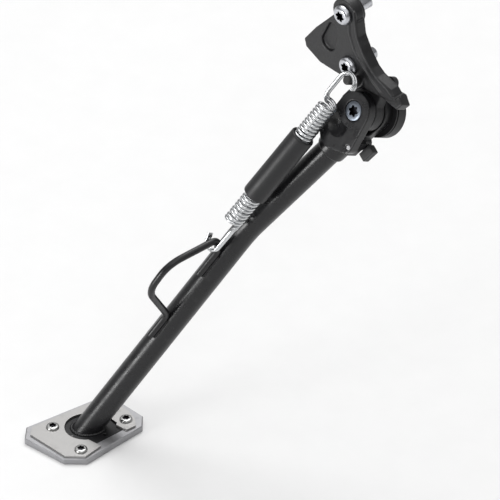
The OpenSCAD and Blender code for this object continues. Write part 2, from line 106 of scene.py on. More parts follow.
@dataclass(frozen=True)
class Finish:
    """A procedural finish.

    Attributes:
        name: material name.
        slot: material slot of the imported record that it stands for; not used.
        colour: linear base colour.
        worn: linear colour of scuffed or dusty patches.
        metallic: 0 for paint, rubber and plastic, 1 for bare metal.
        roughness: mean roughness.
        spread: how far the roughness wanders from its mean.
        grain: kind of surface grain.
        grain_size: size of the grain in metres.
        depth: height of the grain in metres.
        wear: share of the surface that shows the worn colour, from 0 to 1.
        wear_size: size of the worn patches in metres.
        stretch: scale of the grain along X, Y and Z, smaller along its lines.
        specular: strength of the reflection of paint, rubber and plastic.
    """

    name: str
    slot: str
    colour: Point
    worn: Point
    metallic: float
    roughness: float
    spread: float
    grain: Grain
    grain_size: float
    depth: float
    wear: float = 0.2
    wear_size: float = 0.02
    stretch: Point = (1.0, 1.0, 1.0)
    specular: float = 0.5

    def build(self) -> bpy.types.Material:
        """Makes the material's nodes.

        Returns:
            The finished material.
        """
        material = bpy.data.materials.new(self.name)
        material.use_nodes = True
        tree = material.node_tree
        shader = tree.nodes["Principled BSDF"]
        place = tree.nodes.new("ShaderNodeTexCoord").outputs["Object"]
        grain = self._grain(tree, place)
        patches = self._noise(tree, place, 1 / self.wear_size, 4, 0.6)
        edge = tree.nodes.new("ShaderNodeMapRange")
        edge.inputs["From Min"].default_value = 0.72 - 0.34 * self.wear
        edge.inputs["From Max"].default_value = 0.82 - 0.2 * self.wear
        tree.links.new(patches, edge.inputs["Value"])
        mix = tree.nodes.new("ShaderNodeMix")
        mix.data_type = "RGBA"
        mix.inputs["A"].default_value = (*self.colour, 1)
        mix.inputs["B"].default_value = (*self.worn, 1)
        tree.links.new(edge.outputs["Result"], mix.inputs["Factor"])
        # The base colour takes painted shade wherever a piece marks the bottom of a socket.
        tree.links.new(self._paint_socket_shade(tree, mix.outputs["Result"]), shader.inputs["Base Color"])
        rough = tree.nodes.new("ShaderNodeMapRange")
        rough.inputs["From Min"].default_value = 0.3
        rough.inputs["From Max"].default_value = 0.7
        rough.inputs["To Min"].default_value = max(0.03, self.roughness - self.spread)
        rough.inputs["To Max"].default_value = min(1.0, self.roughness + self.spread)
        source = grain if self.grain is Grain.DRAWN else patches
        tree.links.new(source, rough.inputs["Value"])
        tree.links.new(rough.outputs["Result"], shader.inputs["Roughness"])
        bump = tree.nodes.new("ShaderNodeBump")
        bump.inputs["Strength"].default_value = 1.0
        bump.inputs["Distance"].default_value = self.depth
        tree.links.new(grain, bump.inputs["Height"])
        tree.links.new(bump.outputs["Normal"], shader.inputs["Normal"])
        shader.inputs["Metallic"].default_value = self.metallic
        shader.inputs["Specular IOR Level"].default_value = self.specular
        return material

    @staticmethod
    def _paint_socket_shade(tree: bpy.types.NodeTree, colour: bpy.types.NodeSocket) -> bpy.types.NodeSocket:
        """Paints shade into the bottom of a driving socket, where the piece marks one.

        Args:
            tree: the material's nodes.
            colour: the finish's own colour.

        Returns:
            The darkened colour's socket.
        """
        shade_mark = tree.nodes.new("ShaderNodeAttribute")
        shade_mark.attribute_name = SOCKET_SHADE_MARK
        mix = tree.nodes.new("ShaderNodeMix")
        mix.data_type = "RGBA"
        mix.inputs["B"].default_value = SOCKET_PAINTED_SHADE
        tree.links.new(shade_mark.outputs["Fac"], mix.inputs["Factor"])
        tree.links.new(colour, mix.inputs["A"])
        return mix.outputs["Result"]

    def _grain(self, tree: bpy.types.NodeTree, place: bpy.types.NodeSocket) -> bpy.types.NodeSocket:
        """Grain height of the surface.

        Args:
            tree: the material's nodes.
            place: coordinates on the piece.

        Returns:
            The socket that holds the height, about 0 to 1.
        """
        turn = tree.nodes.new("ShaderNodeMapping")
        turn.inputs["Scale"].default_value = self.stretch
        tree.links.new(place, turn.inputs["Vector"])
        return self._noise(tree, turn.outputs["Vector"], 1 / self.grain_size, *GRAIN_NOISE[self.grain])

    @staticmethod
    def _noise(
        tree: bpy.types.NodeTree, place: bpy.types.NodeSocket, scale: float, detail: float, rough: float
    ) -> bpy.types.NodeSocket:
        """A noise texture.

        Args:
            tree: the material's nodes.
            place: coordinates on the piece.
            scale: features in a metre.
            detail: octaves.
            rough: strength of the fine octaves.

        Returns:
            The noise value's socket.
        """
        noise = tree.nodes.new("ShaderNodeTexNoise")
        noise.inputs["Scale"].default_value = scale
        noise.inputs["Detail"].default_value = detail
        noise.inputs["Roughness"].default_value = rough
        tree.links.new(place, noise.inputs["Vector"])
        return noise.outputs["Fac"]


@dataclass(frozen=True)
class Palette:
    """Every finish of the stand."""

    cast_black: Finish = Finish(
        "cast_black", "bracket_casting_black", (0.010, 0.010, 0.011), (0.026, 0.026, 0.027), 0.0, 0.40, 0.08,
        Grain.CAST, 0.0016, 0.00018, 0.3, 0.012, specular=0.4)
    leg_black: Finish = Finish(
        "leg_black", "leg_black", (0.009, 0.009, 0.010), (0.022, 0.022, 0.023), 0.0, 0.30, 0.07,
        Grain.PAINT, 0.0024, 0.00007, 0.3, 0.010, specular=0.4)
    foot_black: Finish = Finish(
        "foot_black", "foot_black", (0.010, 0.010, 0.011), (0.30, 0.29, 0.28), 0.1, 0.42, 0.1,
        Grain.CAST, 0.002, 0.00014, 0.16, 0.006, specular=0.4)
    spring_zinc: Finish = Finish(
        "spring_zinc", "spring_zinc", (0.62, 0.63, 0.64), (0.46, 0.47, 0.48), 1.0, 0.24, 0.06,
        Grain.DRAWN, 0.0012, 0.00002, 0.3, 0.006)
    screw_zinc: Finish = Finish(
        "screw_zinc", "zinc_screws", (0.54, 0.55, 0.58), (0.40, 0.41, 0.44), 1.0, 0.22, 0.07,
        Grain.BLASTED, 0.0008, 0.00002, 0.3, 0.004)
    bolt_zinc: Finish = Finish(
        "bolt_zinc", "bolt_zinc", (0.17, 0.19, 0.22), (0.14, 0.15, 0.175), 1.0, 0.38, 0.06,
        Grain.BLASTED, 0.0007, 0.00002, 0.3, 0.004)
    sleeve_rubber: Finish = Finish(
        "sleeve_rubber", "sleeve_rubber", (0.014, 0.014, 0.015), (0.024, 0.024, 0.025), 0.0, 0.46, 0.06,
        Grain.MOULDED, 0.0011, 0.00002, 0.35, 0.015, specular=0.4)
    seal_rubber: Finish = Finish(
        "seal_rubber", "seal_rubber", (0.02, 0.02, 0.021), (0.04, 0.04, 0.041), 0.0, 0.6, 0.05,
        Grain.MOULDED, 0.001, 0.00003)
    buffer_rubber: Finish = Finish(
        "buffer_rubber", "buffer_rubber", (0.020, 0.020, 0.021), (0.045, 0.045, 0.045), 0.0, 0.5, 0.07,
        Grain.MOULDED, 0.001, 0.00003, 0.3, 0.004)
    switch_plastic: Finish = Finish(
        "switch_plastic", "switch_plastic", (0.012, 0.012, 0.013), (0.022, 0.022, 0.023), 0.0, 0.42, 0.05,
        Grain.MOULDED, 0.0009, 0.00002, 0.3, 0.01, specular=0.4)
    aluminium: Finish = Finish(
        "anodised_aluminium", "anodised_aluminium", (0.36, 0.36, 0.37), (0.31, 0.31, 0.32), 1.0, 0.52, 0.05,
        Grain.BLASTED, 0.0006, 0.00001, 0.4, 0.01)
    stainless: Finish = Finish(
        "brushed_stainless", "stainless", (0.38, 0.375, 0.37), (0.32, 0.315, 0.31), 1.0, 0.46, 0.08,
        Grain.DRAWN, 0.0007, 0.00002, 0.35, 0.012, stretch=(1.0, 0.04, 1.0))
    stainless_screw: Finish = Finish(
        "stainless_screw", "stainless_screws", (0.46, 0.46, 0.455), (0.36, 0.36, 0.355), 1.0, 0.22, 0.07,
        Grain.BLASTED, 0.0006, 0.00001, 0.3, 0.003)
    pin_steel: Finish = Finish(
        "dark_pin_steel", "dark_pin_steel", (0.03, 0.03, 0.03), (0.08, 0.08, 0.08), 0.4, 0.40, 0.08,
        Grain.BLASTED, 0.0008, 0.00002, 0.3, 0.003)
    washer_steel: Finish = Finish(
        "ground_steel", "washer_steel", (0.45, 0.45, 0.46), (0.36, 0.36, 0.37), 1.0, 0.32, 0.06,
        Grain.DRAWN, 0.0008, 0.00001, 0.3, 0.004)
    bronze: Finish = Finish(
        "bush_bronze", "bronze", (0.48, 0.32, 0.14), (0.4, 0.26, 0.12), 1.0, 0.38, 0.06,
        Grain.BLASTED, 0.0006, 0.00001, 0.3, 0.004)
    board: Finish = Finish(
        "contact_board", "contact_board", (0.22, 0.15, 0.06), (0.5, 0.36, 0.12), 0.0, 0.5, 0.05,
        Grain.MOULDED, 0.001, 0.00001, 0.3, 0.003)
    rotor: Finish = Finish(
        "rotor_plastic", "rotor_plastic", (0.62, 0.61, 0.55), (0.56, 0.55, 0.49), 0.0, 0.45, 0.05,
        Grain.MOULDED, 0.001, 0.00001, 0.3, 0.004)


class PaintShop:
    """Builds each finish once and puts it on pieces."""

    def __init__(self) -> None:
        """Starts with no material made."""
        self._made: dict[str, bpy.types.Material] = {}

    def material(self, finish: Finish) -> bpy.types.Material:
        """The material of a finish, made on first use."""
        if finish.name not in self._made:
            self._made[finish.name] = finish.build()
        return self._made[finish.name]

    def coat(self, piece: bpy.types.Object, finish: Finish) -> None:
        """Gives the whole piece one finish.

        Args:
            piece: a mesh object.
            finish: the finish to put on.
        """
        piece.data.materials.clear()
        piece.data.materials.append(self.material(finish))


# ---- Places ----


@dataclass(frozen=True)
class StandFrame:
    """The frames that the stand's pieces are laid out in, with sizes in millimetres.

    Attributes:
        pivot: outboard end of the leg's pivot.
        lean: upward tilt of the outboard end of the pivot, degrees.
        upper_rake: forward rake of the upper leg, degrees.
        lower_rake: forward rake of the lower leg, degrees.
        bend: distance from the pivot to the bend.
        tube_offset: how far the tube's axis runs behind the pivot.
        mid: height of the tube's axis along the pivot.
        spring_z: height of the springs' axis along the pivot.
        pin: upper spring anchor in the leg's plane.
        rod: lower spring anchor in the leg's plane.
        foot: middle of the foot on the ground.
        foot_yaw: turn of the foot about the vertical, degrees.
    """

    pivot: Point = (20.0, -25.0, -53.0)
    lean: float = 27.0
    upper_rake: float = 30.0
    lower_rake: float = 22.0
    bend: float = 156.6
    tube_offset: float = 3.8
    mid: float = -15.0
    spring_z: float = 10.6
    pin: tuple[float, float] = (-5.9, 24.1)
    rod: tuple[float, float] = (-82.1, -155.1)
    foot: Point = (-145.8, -172.8, -387.0)
    foot_yaw: float = -3.5

    @staticmethod
    def _turn(axis: str, degrees: float) -> Matrix:
        """A turn about one axis."""
        return Matrix.Rotation(math.radians(degrees), 4, axis)

    def stand(self) -> Matrix:
        """The leg's plane: x to the rear, y up, z outboard along the pivot."""
        return Matrix.Translation(self.pivot) @ self._turn("X", 90 - self.lean)

    def upper_leg(self) -> Matrix:
        """The leg's plane, turned so that the upper leg runs along -y."""
        return self.stand() @ self._turn("Z", -self.upper_rake)

    def lower_leg(self) -> Matrix:
        """The lower leg from the bend along -y, with the tube's axis at the origin."""
        shift = Matrix.Translation((self.tube_offset, -self.bend, self.mid))
        return self.upper_leg() @ shift @ self._turn("Z", self.upper_rake - self.lower_rake)

    def springs(self) -> Matrix:
        """The springs' axis along y, with the anchor pin at the origin."""
        run = Vector(self.pin) - Vector(self.rod)
        turn = Matrix.Rotation(-math.atan2(run.x, run.y), 4, "Z")
        return self.stand() @ Matrix.Translation((*self.pin, self.spring_z)) @ turn

    def foot_plate(self) -> Matrix:
        """The foot: z = 0 on the ground, y inboard."""
        return Matrix.Translation(self.foot) @ self._turn("Z", self.foot_yaw)

    def spring_run(self) -> float:
        """Distance between the springs' anchors."""
        return (Vector(self.pin) - Vector(self.rod)).length


# ---- Mesh making ----


class Shaper:
    """Makes meshes from paths, profiles and the frame's own nodes."""

    def __init__(self, nodes: dict[str, bpy.types.Object]) -> None:
        """Keeps the frame's nodes.

        Args:
            nodes: the CAD nodes by name.
        """
        self.nodes = nodes

    @staticmethod
    def link(name: str, bm: bmesh.types.BMesh, smooth: float | None = 40.0) -> bpy.types.Object:
        """Turns a bmesh into an object of the scene.

        Args:
            name: the object's name.
            bm: the mesh, which is freed.
            smooth: angle in degrees under which edges are shaded smooth, or None.

        Returns:
            The new object, at the origin.
        """
        bmesh.ops.recalc_face_normals(bm, faces=bm.faces)
        mesh = bpy.data.meshes.new(name)
        bm.to_mesh(mesh)
        bm.free()
        piece = bpy.data.objects.new(name, mesh)
        bpy.context.scene.collection.objects.link(piece)
        if smooth is not None:
            mesh.shade_smooth()
            mesh.set_sharp_from_angle(angle=math.radians(smooth))
        return piece

    @staticmethod
    def path_points(points: list[Vector], frame: Matrix) -> list[Vector]:
        """Puts points given in millimetres in a frame into metres in the row frame."""
        return [(frame @ p) * MM for p in points]

    @staticmethod
    def rounded(corners: list[Vector], radii: list[float], steps: int = 12) -> list[Vector]:
        """Rounds the inner corners of a path.

        Args:
            corners: the path's corners.
            radii: a radius for each inner corner.
            steps: points on each round.

        Returns:
            The rounded path's points.
        """
        out = [corners[0]]
        for a, b, c, r in zip(corners, corners[1:], corners[2:], radii):
            u, v = (a - b).normalized(), (c - b).normalized()
            half = u.angle(v) / 2
            centre = b + (u + v).normalized() * r / math.sin(half)
            start = b + u * r / math.tan(half) - centre
            end = b + v * r / math.tan(half) - centre
            sweep = start.angle(end)
            axis = start.cross(end).normalized()
            out += [centre + Matrix.Rotation(sweep * i / steps, 3, axis) @ start for i in range(steps + 1)]
        return out + [corners[-1]]

    @staticmethod
    def rings(points: list[Vector], profile: list[float], sides: int) -> list[list[Vector]]:
        """Rings round a path, carried without twist.

        Args:
            points: the path.
            profile: the ring's radius at each point.
            sides: points on a ring.

        Returns:
            A ring of points for each point of the path.
        """
        out: list[list[Vector]] = []
        normal = Vector((0.123, 0.456, 0.881))
        for i, p in enumerate(points):
            along = (points[min(i + 1, len(points) - 1)] - points[max(i - 1, 0)]).normalized()
            normal = (normal - normal.dot(along) * along).normalized()
            side = along.cross(normal)
            turn = [2 * math.pi * k / sides for k in range(sides)]
            out.append([p + profile[i] * (normal * math.cos(t) + side * math.sin(t)) for t in turn])
        return out

    @staticmethod
    def skin(bm: bmesh.types.BMesh, rings: list[list[Vector]], cap: bool = True) -> None:
        """Adds walls between rings, with end caps.

        Args:
            bm: mesh to add to.
            rings: rings with the same number of points.
            cap: whether the first and last rings are closed with a face.
        """
        made = [[bm.verts.new(v) for v in ring] for ring in rings]
        for a, b in zip(made, made[1:]):
            for k in range(len(a)):
                j = (k + 1) % len(a)
                bm.faces.new((a[k], a[j], b[j], b[k]))
        if cap:
            bm.faces.new(list(reversed(made[0])))
            bm.faces.new(made[-1])

    @staticmethod
    def turned(bm: bmesh.types.BMesh, profile: list[tuple[float, float]], frame: Matrix, sides: int) -> None:
        """Adds a closed turned ring.

        Args:
            bm: mesh to add to.
            profile: radius and height in millimetres, round the section.
            frame: place of the turning axis, which is z.
            sides: steps round the axis.
        """
        turn = [2 * math.pi * k / sides for k in range(sides)]
        columns: list[list[bmesh.types.BMVert]] = []
        for r, h in profile:
            ring = [(frame @ Vector((r * math.cos(t), r * math.sin(t), h))) * MM for t in turn]
            columns.append([bm.verts.new(v) for v in ring])
        for a, b in zip(columns, columns[1:] + columns[:1]):
            for k in range(sides):
                j = (k + 1) % sides
                bm.faces.new((a[k], a[j], b[j], b[k]))

    def copy(self, node: str) -> bmesh.types.BMesh:
        """A welded copy of a CAD node's mesh.

        Args:
            node: the node's name.

        Returns:
            The copy, as a bmesh.
        """
        bm = bmesh.new()
        bm.from_mesh(self.nodes[node].data)
        bmesh.ops.remove_doubles(bm, verts=bm.verts, dist=WELD)
        return bm

    @staticmethod
    def evaluated(piece: bpy.types.Object) -> bpy.types.Mesh:
        """Makes a plain mesh of an object as its modifiers leave it, and removes them.

        Args:
            piece: the object.

        Returns:
            The plain mesh.
        """
        bpy.context.view_layer.update()
        graph = bpy.context.evaluated_depsgraph_get()
        mesh = bpy.data.meshes.new_from_object(piece.evaluated_get(graph))
        piece.modifiers.clear()
        return mesh

    def softened(self, name: str, bm: bmesh.types.BMesh, voxel: float, passes: int) -> bpy.types.Object:
        """A piece with the rounded edges of a casting or forging.

        Args:
            name: the object's name.
            bm: the sharp shape, whose solids may overlap.
            voxel: voxel size in metres.
            passes: smoothing passes.

        Returns:
            The rounded piece.
        """
        piece = self.link(name, bm, None)
        mesher = piece.modifiers.new("skin", "REMESH")
        mesher.mode = "VOXEL"
        mesher.voxel_size = voxel
        mesher.use_smooth_shade = True
        smooth = piece.modifiers.new("round", "SMOOTH")
        smooth.factor = 0.5
        smooth.iterations = passes
        piece.data = self.evaluated(piece)
        piece.data.shade_smooth()
        return piece

    def edged(self, name: str, bm: bmesh.types.BMesh, width: float) -> bpy.types.Object:
        """A piece with small bevels on its hard edges.

        Args:
            name: the object's name.
            bm: the sharp shape.
            width: bevel width in metres.

        Returns:
            The bevelled piece.
        """
        bmesh.ops.dissolve_limit(bm, angle_limit=math.radians(0.5), verts=bm.verts, edges=bm.edges)
        piece = self.link(name, bm, None)
        bevel = piece.modifiers.new("edge", "BEVEL")
        bevel.width = width
        bevel.segments = 3
        bevel.limit_method = "ANGLE"
        bevel.angle_limit = math.radians(38)
        piece.data = self.evaluated(piece)
        piece.data.shade_smooth()
        piece.data.set_sharp_from_angle(angle=math.radians(32))
        flat = piece.modifiers.new("flat", "WEIGHTED_NORMAL")
        flat.weight = 100
        flat.keep_sharp = True
        piece.data = self.evaluated(piece)
        return piece


class NodeShop:
    """Geometry Nodes trees for wires, welds and repeated screws."""

    def __init__(self, paint: PaintShop) -> None:
        """Keeps the paint shop.

        Args:
            paint: where materials come from.
        """
        self.paint = paint

    @staticmethod
    def _tree(
        name: str, inputs: list[tuple[str, str]]
    ) -> tuple[bpy.types.NodeTree, bpy.types.Node, bpy.types.Node]:
        """An empty tree with named inputs.

        Args:
            name: the tree's name.
            inputs: name and socket type of each input after the geometry.

        Returns:
            The tree with its input and output nodes.
        """
        tree = bpy.data.node_groups.new(name, "GeometryNodeTree")
        tree.interface.new_socket("Geometry", in_out="INPUT", socket_type="NodeSocketGeometry")
        for title, kind in inputs:
            tree.interface.new_socket(title, in_out="INPUT", socket_type=kind)
        tree.interface.new_socket("Geometry", in_out="OUTPUT", socket_type="NodeSocketGeometry")
        return tree, tree.nodes.new("NodeGroupInput"), tree.nodes.new("NodeGroupOutput")

    @staticmethod
    def _close(
        tree: bpy.types.NodeTree, shape: bpy.types.NodeSocket, start: bpy.types.Node, end: bpy.types.Node
    ) -> None:
        """Ends a tree with Realize Instances and Set Material.

        Args:
            tree: the tree.
            shape: the geometry to finish.
            start: the tree's input node, which has a Material socket.
            end: the tree's output node.
        """
        real = tree.nodes.new("GeometryNodeRealizeInstances")
        dress = tree.nodes.new("GeometryNodeSetMaterial")
        tree.links.new(shape, real.inputs["Geometry"])
        tree.links.new(real.outputs["Geometry"], dress.inputs["Geometry"])
        tree.links.new(start.outputs["Material"], dress.inputs["Material"])
        tree.links.new(dress.outputs["Geometry"], end.inputs["Geometry"])

    @cached_property
    def wire_tree(self) -> bpy.types.NodeTree:
        """The tree that sweeps a round wire along a curve."""
        sizes = [
            ("Wire Radius", "NodeSocketFloat"), ("Sides", "NodeSocketInt"), ("Material", "NodeSocketMaterial")]
        tree, start, end = self._tree("swept_wire", sizes)
        ring = tree.nodes.new("GeometryNodeCurvePrimitiveCircle")
        sweep = tree.nodes.new("GeometryNodeCurveToMesh")
        sweep.inputs["Fill Caps"].default_value = True
        tree.links.new(start.outputs["Sides"], ring.inputs["Resolution"])
        tree.links.new(start.outputs["Wire Radius"], ring.inputs["Radius"])
        tree.links.new(start.outputs["Geometry"], sweep.inputs["Curve"])
        tree.links.new(ring.outputs["Curve"], sweep.inputs["Profile Curve"])
        self._close(tree, sweep.outputs["Mesh"], start, end)
        return tree

    @cached_property
    def bead_tree(self) -> bpy.types.NodeTree:
        """The tree that lays overlapping weld ripples along a curve."""
        sizes = [
            ("Bead Radius", "NodeSocketFloat"), ("Pitch", "NodeSocketFloat"),
            ("Unevenness", "NodeSocketFloat"),
            ("Seed", "NodeSocketInt"), ("Material", "NodeSocketMaterial")]
        tree, start, end = self._tree("weld_ripples", sizes)
        points = tree.nodes.new("GeometryNodeCurveToPoints")
        points.mode = "LENGTH"
        ball = tree.nodes.new("GeometryNodeMeshUVSphere")
        ball.inputs["Segments"].default_value = 16
        ball.inputs["Rings"].default_value = 10
        lay = tree.nodes.new("GeometryNodeInstanceOnPoints")
        vary = tree.nodes.new("FunctionNodeRandomValue")
        vary.data_type = "FLOAT"
        low = tree.nodes.new("ShaderNodeMath")
        low.operation = "SUBTRACT"
        low.inputs[0].default_value = 1.0
        tree.links.new(start.outputs["Unevenness"], low.inputs[1])
        tree.links.new(low.outputs[0], vary.inputs[2])
        vary.inputs[3].default_value = 1.0
        tree.links.new(start.outputs["Seed"], vary.inputs["Seed"])
        tree.links.new(start.outputs["Geometry"], points.inputs["Curve"])
        tree.links.new(start.outputs["Pitch"], points.inputs["Length"])
        tree.links.new(start.outputs["Bead Radius"], ball.inputs["Radius"])
        tree.links.new(points.outputs["Points"], lay.inputs["Points"])
        tree.links.new(ball.outputs["Mesh"], lay.inputs["Instance"])
        tree.links.new(points.outputs["Rotation"], lay.inputs["Rotation"])
        tree.links.new(vary.outputs[1], lay.inputs["Scale"])
        self._close(tree, lay.outputs["Instances"], start, end)
        return tree

    @cached_property
    def set_tree(self) -> bpy.types.NodeTree:
        """The tree that puts one screw at each point of a mesh."""
        sizes = [
            ("Screw", "NodeSocketObject"), ("Turn", "NodeSocketRotation"), ("Slot Turn", "NodeSocketFloat"),
            ("Seed", "NodeSocketInt"), ("Material", "NodeSocketMaterial")]
        tree, start, end = self._tree("screw_set", sizes)
        take = tree.nodes.new("GeometryNodeObjectInfo")
        lay = tree.nodes.new("GeometryNodeInstanceOnPoints")
        spin = tree.nodes.new("FunctionNodeRandomValue")
        spin.data_type = "FLOAT"
        spin.inputs[2].default_value = 0.0
        own = tree.nodes.new("FunctionNodeAxisAngleToRotation")
        both = tree.nodes.new("FunctionNodeRotateRotation")
        both.rotation_space = "LOCAL"
        tree.links.new(start.outputs["Screw"], take.inputs["Object"])
        tree.links.new(start.outputs["Slot Turn"], spin.inputs[3])
        tree.links.new(start.outputs["Seed"], spin.inputs["Seed"])
        tree.links.new(spin.outputs[1], own.inputs["Angle"])
        tree.links.new(start.outputs["Turn"], both.inputs["Rotation"])
        tree.links.new(own.outputs["Rotation"], both.inputs["Rotate By"])
        tree.links.new(start.outputs["Geometry"], lay.inputs["Points"])
        tree.links.new(take.outputs["Geometry"], lay.inputs["Instance"])
        tree.links.new(both.outputs["Rotation"], lay.inputs["Rotation"])
        self._close(tree, lay.outputs["Instances"], start, end)
        return tree

    @staticmethod
    def _run(
        name: str, source: bpy.types.Object, tree: bpy.types.NodeTree, values: dict[str, object]
    ) -> bpy.types.Object:
        """Runs a tree on an object and keeps the result as a plain mesh.

        Args:
            name: name of the result.
            source: object that the tree starts from, which is removed.
            tree: the tree.
            values: input values by input name.

        Returns:
            The result, at the origin.
        """
        worker = source.modifiers.new("maker", "NODES")
        worker.node_group = tree
        for item in tree.interface.items_tree:
            if item.in_out == "INPUT" and item.name in values:
                worker[item.identifier] = values[item.name]
        mesh = Shaper.evaluated(source)
        bpy.data.objects.remove(source)
        mesh.name = name
        piece = bpy.data.objects.new(name, mesh)
        bpy.context.scene.collection.objects.link(piece)
        bm = bmesh.new()
        bm.from_mesh(mesh)
        bmesh.ops.remove_doubles(bm, verts=bm.verts, dist=1e-6)
        bmesh.ops.recalc_face_normals(bm, faces=bm.faces)
        bm.to_mesh(mesh)
        bm.free()
        mesh.shade_smooth()
        mesh.set_sharp_from_angle(angle=math.radians(50))
        return piece

    @staticmethod
    def _curve(name: str, paths: list[list[Vector]]) -> bpy.types.Object:
        """A curve object of one or more poly splines, in metres."""
        curve = bpy.data.curves.new(name, "CURVE")
        curve.dimensions = "3D"
        curve.twist_mode = "MINIMUM"
        for path in paths:
            spline = curve.splines.new("POLY")
            spline.points.add(len(path) - 1)
            for point, place in zip(spline.points, path):
                point.co = (*place, 1)
        source = bpy.data.objects.new(name, curve)
        bpy.context.scene.collection.objects.link(source)
        return source

    def wire(
        self, name: str, path: list[Vector], radius: float, sides: int, finish: Finish
    ) -> bpy.types.Object:
        """A round wire along a path.

        Args:
            name: the object's name.
            path: the wire's axis, in metres.
            radius: wire radius in metres.
            sides: faces round the wire.
            finish: the wire's finish.

        Returns:
            The wire.
        """
        values = {"Wire Radius": radius, "Sides": sides, "Material": self.paint.material(finish)}
        return self._run(name, self._curve(name + "_path", [path]), self.wire_tree, values)

    def weld(
        self, name: str, paths: list[list[Vector]], radius: float, finish: Finish, seed: int
    ) -> bpy.types.Object:
        """Weld beads along paths.

        Args:
            name: the object's name.
            paths: the beads' axes, in metres.
            radius: bead radius in metres.
            finish: the bead's finish.
            seed: seed of its unevenness.

        Returns:
            The beads, as one piece.
        """
        values = {
            "Bead Radius": radius, "Pitch": radius * 0.75, "Unevenness": 0.22, "Seed": seed,
            "Material": self.paint.material(finish)}
        return self._run(name, self._curve(name + "_path", paths), self.bead_tree, values)

    def screws(
        self, name: str, screw: bpy.types.Object, places: list[Vector], turn: Matrix, finish: Finish,
        seed: int
    ) -> bpy.types.Object:
        """A set of equal screws.

        Args:
            name: the object's name.
            screw: the pattern screw, along +z with its seat at the origin; it is removed.
            places: the seats, in metres.
            turn: direction of every screw.
            finish: the screws' finish.
            seed: seed of how each socket happens to be turned.

        Returns:
            The screws, as one piece.
        """
        mesh = bpy.data.meshes.new(name + "_seats")
        mesh.from_pydata([tuple(p) for p in places], [], [])
        source = bpy.data.objects.new(name + "_seats", mesh)
        bpy.context.scene.collection.objects.link(source)
        values = {
            "Screw": screw, "Turn": tuple(turn.to_euler()), "Slot Turn": math.radians(50), "Seed": seed,
            "Material": self.paint.material(finish)}
        piece = self._run(name, source, self.set_tree, values)
        bpy.data.objects.remove(screw)
        return piece


@dataclass
class Workshop:
    """What every sub-assembly is built with."""

    nodes: dict[str, bpy.types.Object]
    paint: PaintShop = field(default_factory=PaintShop)
    places: StandFrame = field(default_factory=StandFrame)
    colours: Palette = field(default_factory=Palette)

    def __post_init__(self) -> None:
        """Sets up the tools that need the nodes or the paint."""
        self.shaper = Shaper(self.nodes)
        self.trees = NodeShop(self.paint)

    def fit(self, piece: bpy.types.Object, body: Body, finish: Finish, *stands_for: str) -> None:
        """Paints a piece and puts it on its body.

        Args:
            piece: the piece, in its place.
            body: the body that it rides on.
            finish: its finish.
            *stands_for: CAD nodes that it replaces.
        """
        self.paint.coat(piece, finish)
        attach(piece, body.value)
        if stands_for:
            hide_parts(*stands_for)
        log.info("%s: %d faces on %s", piece.name, len(piece.data.polygons), body.value)

    def rework(self, node: str, body: Body, finish: Finish, bevel: float = 0.0002) -> None:
        """Replaces a CAD node by its own shape with bevelled edges and a finish.

        Args:
            node: the node's name.
            body: the body that it rides on.
            finish: its finish.
            bevel: bevel width in metres.
        """
        piece = self.shaper.edged(node + "_finished", self.shaper.copy(node), bevel)
        self.fit(piece, body, finish, node)


# ---- Sub-assemblies ----


